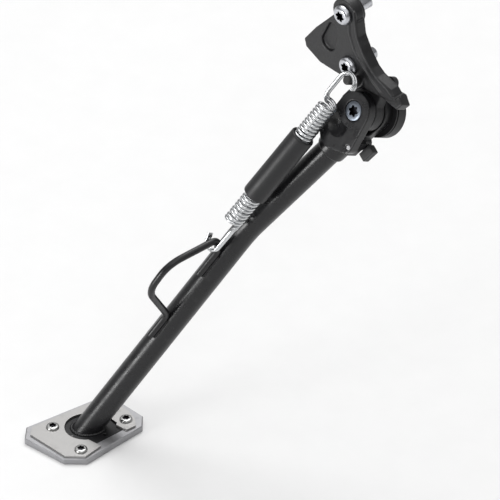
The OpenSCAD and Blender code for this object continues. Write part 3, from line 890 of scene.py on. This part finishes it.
@dataclass
class LobeScrew:
    """A dome-headed screw with a six-lobed socket, in millimetres.

    Attributes:
        head_r: radius of the head.
        head_h: height of the head.
        shank_r: radius of the shank.
        shank: length of the shank.
        socket_r: outer radius of the socket.
        depth: depth of the socket.
        flat: radius of the flat land round the socket.
        dome: whether the head is domed rather than flat with a chamfer.
    """

    head_r: float
    head_h: float
    shank_r: float
    shank: float
    socket_r: float
    depth: float
    flat: float
    dome: bool = True

    def lobes(self, turn: float) -> float:
        """Radius of the socket's wall at an angle."""
        return self.socket_r * (0.865 + 0.135 * math.cos(6 * turn))

    def build(self, name: str, frame: Matrix) -> bpy.types.Object:
        """Makes the screw along +z of a frame, with its seat at the frame's origin.

        Args:
            name: the object's name.
            frame: the screw's place, in millimetres.

        Returns:
            The screw.
        """
        sides = 96
        profile = self._outside()
        bm = bmesh.new()
        # Weights of painted shade in the socket: 0 at its rim, 0.75 just inside and 1 further down and at the
        # bottom.
        shade_mark = bm.verts.layers.float.new(SOCKET_SHADE_MARK)
        columns: list[list[bmesh.types.BMVert]] = []
        for k in range(sides):
            t = 2 * math.pi * k / sides
            wall = self.lobes(t)
            inner = [(wall * 1.05, self.head_h), (wall, self.head_h - 0.12 * self.socket_r)]
            inner += [(wall * 0.97, self.head_h - self.depth), (wall * 0.45, self.head_h - self.depth * 1.12)]
            line = profile + inner
            columns.append([
                bm.verts.new((frame @ Vector((r * math.cos(t), r * math.sin(t), h))) * MM) for r, h in line])
        tip = bm.verts.new((frame @ Vector((0, 0, -self.shank))) * MM)
        well = bm.verts.new((frame @ Vector((0, 0, self.head_h - self.depth * 1.2))) * MM)
        well[shade_mark] = 1.0
        for column in columns:
            for point, shade_weight in zip(column[-3:], (0.75, 1.0, 1.0)):
                point[shade_mark] = shade_weight
        for k in range(sides):
            a, b = columns[k], columns[(k + 1) % sides]
            for i in range(len(a) - 1):
                bm.faces.new((a[i], b[i], b[i + 1], a[i + 1]))
            bm.faces.new((tip, b[0], a[0]))
            bm.faces.new((a[-1], b[-1], well))
        return Shaper.link(name, bm, 35)

    def _outside(self) -> list[tuple[float, float]]:
        """Radius and height of the outside, from the tip to the land round the socket."""
        chamfer = min(0.8, self.shank_r * 0.2)
        out = [
            (self.shank_r - chamfer, -self.shank), (self.shank_r, -self.shank + chamfer), (self.shank_r, 0.0)]
        if not self.dome:
            edge = 0.7
            return out + [
                (self.head_r - 0.2, 0.0), (self.head_r, 0.2), (self.head_r, self.head_h - edge),
                (self.head_r - edge * 0.35, self.head_h - edge * 0.3), (self.head_r - edge, self.head_h),
                (self.flat, self.head_h)]
        rim = 0.16 * self.head_h
        out += [(self.head_r - 0.25, 0.0), (self.head_r, 0.25), (self.head_r, rim)]
        for i in range(1, 11):
            t = math.pi / 2 * i / 10
            r = self.flat + (self.head_r - self.flat) * math.cos(t) ** 0.9
            out.append((r, rim + (self.head_h - rim) * math.sin(t)))
        return out


@dataclass
class FrameBracket:
    """The cast bracket with its screws, anchor pin, bush and washers."""

    shop: Workshop
    voxel: float = 0.00055
    passes: int = 7
    rim_r: float = 1.5
    seat: float = 12.0
    half_pitch: float = 23.4
    slant: float = 3.0

    def outline(self) -> list[Vector]:
        """The plate's raised rim: right edge from the top screw down to the tail."""
        spots = [
            (8.2, 31.0), (9.8, 22.0), (12.0, 8.7), (18.6, -3.6), (26.8, -14.4), (33.6, -20.2), (46.6, -26.0),
            (52.4, -30.3)]
        return [Vector((x, -self.seat - 0.2, z)) for x, z in spots]

    def inner_rim(self) -> list[Vector]:
        """The second, lower rib inside the rim."""
        spots = [(2.5, 20.5), (3.0, 8.0), (8.5, -5.5), (17.5, -17.0), (27.0, -26.0), (38.0, -33.5)]
        return [Vector((x, -self.seat + 0.3, z)) for x, z in spots]

    def build_casting(self) -> bpy.types.Object:
        """The casting with its ribs, melted into one rounded skin."""
        shaper = self.shop.shaper
        bm = shaper.copy("bracket_casting")
        flat = Matrix.Identity(4)
        for path, r in ((self.outline(), self.rim_r), (self.inner_rim(), self.rim_r * 0.9)):
            smooth = shaper.rounded(path, [14.0] * (len(path) - 2), 6)
            points = shaper.path_points(smooth, flat)
            Shaper.skin(bm, shaper.rings(points, [r * MM] * len(points), 12))
        return shaper.softened("bracket_casting_skin", bm, self.voxel, self.passes)

    def build_screws(self) -> bpy.types.Object:
        """The two screws that hold the bracket."""
        sizes = LobeScrew(head_r=8.75, head_h=5.2, shank_r=5.0, shank=28.0, socket_r=4.5, depth=3.6, flat=5.4)
        pattern = sizes.build("bracket_screw", Matrix.Identity(4))
        tilt = Matrix.Rotation(-math.atan2(self.slant, self.half_pitch), 4, "Y")
        turn = tilt @ Matrix.Rotation(math.radians(90), 4, "X")
        places = [(tilt @ Vector((0, -self.seat, s * self.half_pitch))) * MM for s in (1, -1)]
        zinc = self.shop.colours.screw_zinc
        return self.shop.trees.screws("bracket_screw_set", pattern, places, turn, zinc, 3)

    def build(self) -> None:
        """Builds and fits every piece of the bracket."""
        shop, colours = self.shop, self.shop.colours
        shop.fit(self.build_casting(), Body.BRACKET, colours.cast_black, "bracket_casting")
        shop.fit(self.build_screws(), Body.BRACKET, colours.screw_zinc, "bracket_screws")
        shop.rework("spring_pin", Body.BRACKET, colours.pin_steel, 0.0004)
        shop.rework("pivot_bush", Body.BRACKET, colours.bronze)
        shop.rework("outer_thrust_washer", Body.BRACKET, colours.washer_steel)
        shop.rework("inner_thrust_washer", Body.BRACKET, colours.washer_steel)


@dataclass
class StandSwitch:
    """The rotary switch behind the inboard cheek."""

    shop: Workshop

    def build(self) -> None:
        """Builds and fits the housing on the bracket and the rotor on the leg."""
        shop, colours = self.shop, self.shop.colours
        shop.rework("switch_housing", Body.BRACKET, colours.switch_plastic, 0.0005)
        shop.rework("switch_contact_board", Body.BRACKET, colours.board)
        shop.rework("switch_peg", Body.BRACKET, colours.washer_steel)
        shop.rework("switch_grommet", Body.BRACKET, colours.seal_rubber, 0.0003)
        self.build_seal()
        shop.rework("switch_rotor", Body.LEG, colours.rotor)
        shop.rework("switch_drive_pin", Body.LEG, colours.washer_steel)
        shop.rework("switch_screw", Body.LEG, colours.screw_zinc, 0.0003)

    def build_seal(self) -> None:
        """The ring seal, shaded smooth."""
        bm = self.shop.shaper.copy("switch_seal")
        piece = Shaper.link("switch_seal_ring", bm, 60)
        self.shop.fit(piece, Body.BRACKET, self.shop.colours.seal_rubber, "switch_seal")


@dataclass
class ForkHead:
    """The clevis head with the pivot bolt, nut, stop pin and buffer."""

    shop: Workshop
    voxel: float = 0.00045
    passes: int = 8
    bolt_seat: float = -5.1

    def build(self) -> None:
        """Builds and fits the head and what is fixed in it."""
        shop, colours = self.shop, self.shop.colours
        forging = shop.shaper.copy("fork_head")
        head = shop.shaper.softened("fork_head_forging", forging, self.voxel, self.passes)
        shop.fit(head, Body.LEG, colours.leg_black, "fork_head")
        self.build_bolt()
        shop.rework("pivot_lock_nut", Body.LEG, colours.screw_zinc, 0.0004)
        shop.rework("stop_pin", Body.LEG, colours.washer_steel)
        shop.rework("buffer_tab", Body.LEG, colours.buffer_rubber, 0.0008)

    def build_bolt(self) -> None:
        """The pivot bolt: flat head with a socket and a plain round shank."""
        shop = self.shop
        frame = shop.places.stand() @ Matrix.Translation((0, 0, self.bolt_seat))
        head = LobeScrew(
            head_r=8.25, head_h=4.8, shank_r=6.0, shank=31.4, socket_r=4.7, depth=3.6, flat=5.3, dome=False)
        shop.fit(head.build("pivot_bolt_turned", frame), Body.LEG, shop.colours.bolt_zinc, "pivot_bolt")


@dataclass
class LegTube:
    """The bent tube of the leg with its welds."""

    shop: Workshop
    tube_r: float = 11.1
    wall: float = 3.0
    bend_r: float = 150.0
    top: float = 32.05
    foot_top: float = -381.5
    collar_end: float = 46.0
    weld_out: float = 0.5

    def axis(self) -> list[Vector]:
        """The tube's centreline from the collar to the foot, in metres."""
        places = self.shop.places
        turn = math.radians(places.upper_rake - places.lower_rake)
        run = self.bend_r * math.tan(turn / 2)
        x, z = places.tube_offset, places.mid
        upper = [Vector((x, -self.top - i * (places.bend - run - self.top) / 12, z)) for i in range(13)]
        bend = []
        for i in range(1, 13):
            t = turn * i / 12
            side = self.bend_r * (1 - math.cos(t))
            bend.append(Vector((x + side, -places.bend + run - self.bend_r * math.sin(t), z)))
        first = Shaper.path_points(upper + bend, places.upper_leg())
        lower = [Vector((0, -run - i * 9.0, 0)) for i in range(1, 23)]
        return first + Shaper.path_points(lower, places.lower_leg())

    def build_tube(self) -> bpy.types.Object:
        """The tube, cut level where it stands on the forged foot."""
        points = self.axis()
        shaper = self.shop.shaper
        along = (points[-1] - points[-2]).normalized()
        walls = []
        for r in (self.tube_r, self.tube_r - self.wall):
            rings = shaper.rings(points, [r * MM] * len(points), 64)
            last = rings[-1]
            rings.append([v + along * ((self.foot_top * MM - v.z) / along.z) for v in last])
            walls.append(rings)
        bm = bmesh.new()
        Shaper.skin(bm, walls[0] + list(reversed(walls[1])) + [walls[0][0]], cap=False)
        bmesh.ops.remove_doubles(bm, verts=bm.verts, dist=1e-6)
        return Shaper.link("leg_tube_bent", bm, 40)

    def weld_paths(self) -> list[list[Vector]]:
        """Rings of weld at the collar and round the foot of the tube, in metres."""
        points = self.axis()
        shaper = self.shop.shaper
        upper = self.shop.places.upper_leg()
        x, z, r = self.shop.places.tube_offset, self.shop.places.mid, self.tube_r + self.weld_out
        collar = [
            Vector((x + r * math.cos(t), -self.collar_end, z + r * math.sin(t)))
            for t in (2 * math.pi * i / 48 for i in range(49))]
        along = (points[-1] - points[-2]).normalized()
        last = shaper.rings(points, [r * MM] * len(points), 48)[-1]
        low = [v + along * (((self.foot_top + 0.4) * MM - v.z) / along.z) for v in last]
        return [Shaper.path_points(collar, upper), low + [low[0]]]

    def build(self) -> None:
        """Builds and fits the tube and its two ring welds."""
        shop, black = self.shop, self.shop.colours.leg_black
        shop.fit(self.build_tube(), Body.LEG, black, "leg_tube")
        collar, foot = self.weld_paths()
        for name, path, radius, seed in (("collar_weld", collar, 0.0011, 5), ("foot_weld", foot, 0.0016, 6)):
            shop.fit(shop.trees.weld(name, [path], radius, black, seed), Body.LEG, black)


@dataclass
class BootLever:
    """The rod loop that the rider's boot pushes, welded along the tube."""

    shop: Workshop
    rod_r: float = 3.0
    corners: tuple[tuple[float, float], ...] = (
        (14.12, -127.5), (14.12, -102.0), (60.0, -75.0), (62.0, -43.5), (26.0, -12.5), (14.12, -26.0),
        (14.12, -54.0))
    radii: tuple[float, ...] = (9.0, 22.0, 26.0, 6.5, 9.0)
    seams: tuple[tuple[float, float], ...] = ((-127.0, -108.0), (-31.0, -53.5))
    seam_x: float = 2.6
    seam_z: float = 11.3

    def build(self) -> None:
        """Builds and fits the rod and its welds."""
        shop = self.shop
        frame = shop.places.lower_leg()
        path = Shaper.rounded([Vector((0, y, z)) for z, y in self.corners], list(self.radii), 14)
        axis = Shaper.path_points(path, frame)
        rod = shop.trees.wire("boot_lever_rod", axis, self.rod_r * MM, 28, shop.colours.leg_black)
        shop.fit(rod, Body.LEG, shop.colours.leg_black, "lever_rod")
        lines = []
        for y1, y2 in self.seams:
            for x in (-self.seam_x, self.seam_x):
                line = [Vector((x, y1 + (y2 - y1) * i / 10, self.seam_z)) for i in range(11)]
                lines.append(Shaper.path_points(line, frame))
        welds = shop.trees.weld("lever_welds", lines, 0.0012, shop.colours.leg_black, 7)
        shop.fit(welds, Body.LEG, shop.colours.leg_black)


@dataclass
class Coil:
    """One of the two springs, in millimetres.

    Attributes:
        start: depth of its first turn below the pin.
        turns: number of turns.
        lead: advance in a turn.
        hook_z: plane of its hooks beside the springs' axis.
        mean_r: mean radius of the turns.
        upper_r: radius of the upper hook.
        lower_r: radius of the lower hook.
        top: depth of the turns' upper end.
        steps: points in a turn.
        wire_r: radius of the wire.
        pin_r: radius of the anchor pin.
        play: gap between the hook and the pin.
    """

    start: float
    turns: float
    lead: float
    hook_z: float
    mean_r: float = 6.85
    upper_r: float = 8.3
    lower_r: float = 6.6
    top: float = -26.0
    steps: int = 36
    wire_r: float = 1.35
    pin_r: float = 3.8
    play: float = 0.15

    def helix(self, low: float, high: float) -> list[Vector]:
        """The turns between two depths."""
        steps = math.ceil(abs(high - low) / self.lead * self.steps)
        out = []
        for i in range(steps + 1):
            y = low + (high - low) * i / steps
            a = math.radians(180 + 360 * (self.start - y) / self.lead)
            out.append(Vector((self.mean_r * math.cos(a), y, self.mean_r * math.sin(a))))
        return out

    @staticmethod
    def cubic(a: Vector, b: Vector, c: Vector, d: Vector, n: int) -> list[Vector]:
        """Points on a cubic curve, its ends included."""
        spots = [i / n for i in range(n + 1)]
        return [
            a * (1 - s) ** 3 + b * 3 * s * (1 - s) ** 2 + c * 3 * s * s * (1 - s) + d * s**3 for s in spots]

    def upper(self, end: float) -> list[Vector]:
        """Upper hook, shank and turns down to a depth."""
        z, r = self.hook_z, self.upper_r
        c = Vector((0, -(r - self.wire_r - self.pin_r - self.play), z))
        half_turn = (math.pi * i / 24 for i in range(25))
        hook = [c + Vector((r * math.cos(t), r * math.sin(t), 0)) for t in half_turn]
        root = Vector((-r, self.top + 6, z))
        first = self.helix(self.start - self.lead / 8, self.start - self.lead / 4)[0]
        lead = self.cubic(root, root - Vector((0, 5, 0)), first + Vector((-1.2, 1, 5)), first, 14)
        return hook + lead + self.helix(self.start - self.lead / 8 - 0.2, end)

    def lower(self, begin: float, run: float) -> list[Vector]:
        """Turns from a depth, shank and lower hook."""
        z, r = self.hook_z, self.lower_r
        c = Vector((-1.4, -run + 1.4, z))
        last = self.start - self.turns * self.lead
        end = self.helix(last + self.lead / 8, last)[0]
        root = Vector((c.x + r + 0.4, last - 7, z))
        lead = self.cubic(end, end + Vector((1.2, -1, 5)), root + Vector((0, 5, 0)), root, 14)
        half_turn = (math.pi * i / 24 for i in range(25))
        hook = [c + Vector((r * math.cos(t), -r * math.sin(t), 0)) for t in half_turn]
        tail = [c + Vector((-r - 0.5, 1.2, 0)), c + Vector((-r - 1.6, 3, 0))]
        return self.helix(begin, last + self.lead / 8 + 0.2) + lead + hook + tail


@dataclass
class SpringPair:
    """The two return springs, wound into each other, and their sleeve."""

    shop: Workshop
    split: float = -100.0
    gap: float = 13.0
    sleeve_top: float = -65.0
    sleeve: float = 70.0
    sleeve_r: float = 10.4
    sleeve_bore: float = 8.6

    def coils(self) -> dict[str, Coil]:
        """Both springs by name."""
        return {"first": Coil(-29.6, 18.5, 7.45, 1.4), "second": Coil(-26.0, 19.5, 7.412, -1.4)}

    def build(self) -> None:
        """Builds and fits the four spring halves and the sleeve."""
        shop, finish = self.shop, self.shop.colours.spring_zinc
        frame = shop.places.springs()
        run = shop.places.spring_run()
        for name, coil in self.coils().items():
            top = Shaper.path_points(coil.upper(self.split + self.gap / 2), frame)
            low = Shaper.path_points(coil.lower(self.split - self.gap / 2, run), frame)
            upper = shop.trees.wire(name + "_spring_upper_wire", top, coil.wire_r * MM, 20, finish)
            lower = shop.trees.wire(name + "_spring_lower_wire", low, coil.wire_r * MM, 20, finish)
            shop.fit(upper, Body.UPPER, finish, name + "_spring_upper")
            shop.fit(lower, Body.LOWER, finish, name + "_spring_lower")
        self.build_sleeve()

    def build_sleeve(self) -> None:
        """The rubber sleeve with rounded lips."""
        o, i, run = self.sleeve_r, self.sleeve_bore, self.sleeve
        profile = [
            (o - 0.9, 0.0), (o - 0.35, 0.2), (o - 0.05, 0.9), (o, 2.0), (o, run - 2.0), (o - 0.05, run - 0.9),
            (o - 0.35, run - 0.2), (o - 0.9, run), (i + 0.3, run), (i, run - 0.5), (i, 0.5), (i + 0.3, 0.0)]
        bm = bmesh.new()
        low_end = Matrix.Translation((0, self.sleeve_top - run, 0))
        upright = Matrix.Rotation(math.radians(-90), 4, "X")
        frame = self.shop.places.springs() @ (low_end @ upright)
        Shaper.turned(bm, profile, frame, 96)
        piece = Shaper.link("spring_sleeve_moulded", bm, 50)
        self.shop.fit(piece, Body.UPPER, self.shop.colours.sleeve_rubber, "spring_sleeve")


@dataclass
class WideFoot:
    """The forged foot and the wide foot clamped round it."""

    shop: Workshop
    top: float = 7.6
    spots: tuple[tuple[float, float], ...] = ((23.0, -28.2), (-17.1, -26.2), (15.5, 26.9), (-13.5, 27.5))

    def build(self) -> None:
        """Builds and fits the foot's pieces."""
        shop, colours = self.shop, self.shop.colours
        forged = shop.shaper.softened("forged_foot_skin", shop.shaper.copy("forged_foot"), 0.0005, 5)
        shop.fit(forged, Body.LEG, colours.foot_black, "forged_foot")
        shop.rework("foot_base_plate", Body.LEG, colours.aluminium, 0.0003)
        shop.rework("foot_clamp_plate", Body.LEG, colours.stainless, 0.00025)
        frame = shop.places.foot_plate()
        sizes = LobeScrew(head_r=5.6, head_h=2.3, shank_r=2.5, shank=6.6, socket_r=3.2, depth=1.7, flat=3.6)
        pattern = sizes.build("foot_screw", Matrix.Identity(4))
        places = [(frame @ Vector((x, y, self.top))) * MM for x, y in self.spots]
        turn = frame.to_3x3().to_4x4()
        screws = shop.trees.screws("foot_screw_set", pattern, places, turn, colours.stainless_screw, 11)
        shop.fit(screws, Body.LEG, colours.stainless_screw, "foot_screws")


# ---- Studio ----


@dataclass
class Studio:
    """Pale floor, soft lights and the camera."""

    places: StandFrame
    azimuth: float = 45.0
    elevation: float = 34.0
    distance: float = 4.5
    lens: float = 401.8
    right: float = -83.06
    down: float = 112.1
    horizon: float = 0.25
    zenith: float = 1.2
    dim_below: float = 0.35
    bright_above: float = 0.9
    floor_reach: float = 30.0
    floor_gap: float = 0.0002

    def build_camera(self) -> None:
        """Puts the camera where the stand is seen from its outboard rear side."""
        a, e = math.radians(self.azimuth), math.radians(self.elevation)
        back = Vector((math.sin(a) * math.cos(e), -math.cos(a) * math.cos(e), math.sin(e)))
        right = Vector((math.cos(a), math.sin(a), 0))
        up = back.cross(right)
        pivot = Vector(self.places.pivot) * MM
        aim = pivot + (right * self.right - up * self.down) * MM
        camera = bpy.data.objects.new("camera", bpy.data.cameras.new("camera"))
        bpy.context.scene.collection.objects.link(camera)
        camera.data.lens = self.lens
        camera.data.sensor_width = 36.0
        camera.data.clip_start = 0.1
        camera.data.clip_end = 50.0
        camera.location = pivot + back * self.distance
        camera.rotation_mode = "QUATERNION"
        toward = (camera.location - aim).normalized()
        across = (right - right.dot(toward) * toward).normalized()
        axes = Matrix((across, toward.cross(across), toward)).transposed()
        camera.rotation_quaternion = axes.to_quaternion()
        bpy.context.scene.camera = camera

    def build_floor(self) -> None:
        """A pale floor that runs far past the camera's view."""
        bm = bmesh.new()
        z, r = self.places.foot[2] * MM - self.floor_gap, self.floor_reach
        bm.faces.new([bm.verts.new((x, y, z)) for x, y in ((-r, -r), (r, -r), (r, r), (-r, r))])
        floor = Shaper.link("studio_floor", bm, None)
        material = bpy.data.materials.new("studio_paper")
        material.use_nodes = True
        nodes, links = material.node_tree.nodes, material.node_tree.links
        shader = nodes["Principled BSDF"]
        shader.inputs["Roughness"].default_value = 0.9
        place = nodes.new("ShaderNodeTexCoord")
        noise = nodes.new("ShaderNodeTexNoise")
        noise.inputs["Scale"].default_value = 40.0
        ramp = nodes.new("ShaderNodeMapRange")
        ramp.inputs["To Min"].default_value = 0.73
        ramp.inputs["To Max"].default_value = 0.76
        links.new(place.outputs["Object"], noise.inputs["Vector"])
        links.new(noise.outputs["Fac"], ramp.inputs["Value"])
        links.new(ramp.outputs["Result"], shader.inputs["Base Color"])
        floor.data.materials.append(material)

    def _panel(self, name: str, place: Point, aim: Point, size: float, power: float) -> None:
        """A square soft light.

        Args:
            name: the light's name.
            place: where it hangs.
            aim: what it points at.
            size: side length in metres.
            power: watts.
        """
        data = bpy.data.lights.new(name, "AREA")
        data.energy = power
        data.size = size
        lamp = bpy.data.objects.new(name, data)
        bpy.context.scene.collection.objects.link(lamp)
        lamp.location = place
        lamp.rotation_mode = "QUATERNION"
        lamp.rotation_quaternion = (Vector(aim) - Vector(place)).to_track_quat("-Z", "Y")

    def build_surround(self) -> None:
        """A studio room that is dark near the horizon and bright overhead."""
        world = bpy.data.worlds.new("studio_surround")
        world.use_nodes = True
        tree = world.node_tree
        place = tree.nodes.new("ShaderNodeTexCoord")
        split = tree.nodes.new("ShaderNodeSeparateXYZ")
        rise = tree.nodes.new("ShaderNodeMapRange")
        rise.interpolation_type = "SMOOTHSTEP"
        rise.inputs["From Min"].default_value = self.dim_below
        rise.inputs["From Max"].default_value = self.bright_above
        rise.inputs["To Min"].default_value = self.horizon
        rise.inputs["To Max"].default_value = self.zenith
        tree.links.new(place.outputs["Generated"], split.inputs["Vector"])
        tree.links.new(split.outputs["Z"], rise.inputs["Value"])
        tree.links.new(rise.outputs["Result"], tree.nodes["Background"].inputs["Strength"])
        tree.nodes["Background"].inputs["Color"].default_value = (1.0, 1.0, 1.0, 1)
        bpy.context.scene.world = world
        bpy.context.scene.view_settings.view_transform = "Standard"

    def build_lights(self) -> None:
        """Overhead key from behind, a low strip at the outboard side and a weak fill."""
        target = (-0.06, -0.1, -0.2)
        self._panel("key", (-0.8, 0.8, 1.9), target, 1.3, 28.0)
        self._panel("strip", (-0.45, -1.4, -0.1), target, 0.45, 9.0)
        self._panel("fill", (1.6, -1.4, 1.5), target, 0.8, 6.0)

    def build(self) -> None:
        """Sets up the camera, floor and lights."""
        self.build_camera()
        self.build_floor()
        self.build_surround()
        self.build_lights()


def main() -> None:
    """Builds every sub-assembly in order."""
    logging.basicConfig(level=logging.INFO, format="%(name)s: %(message)s")
    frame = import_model()
    shop = Workshop(frame["nodes"])
    for assembly in (
        FrameBracket(shop), StandSwitch(shop), ForkHead(shop), LegTube(shop), BootLever(shop),
        SpringPair(shop),
        WideFoot(shop), Studio(shop.places)):
        assembly.build()
        log.info("%s built", type(assembly).__name__)


if __name__ == "__main__":
    main()
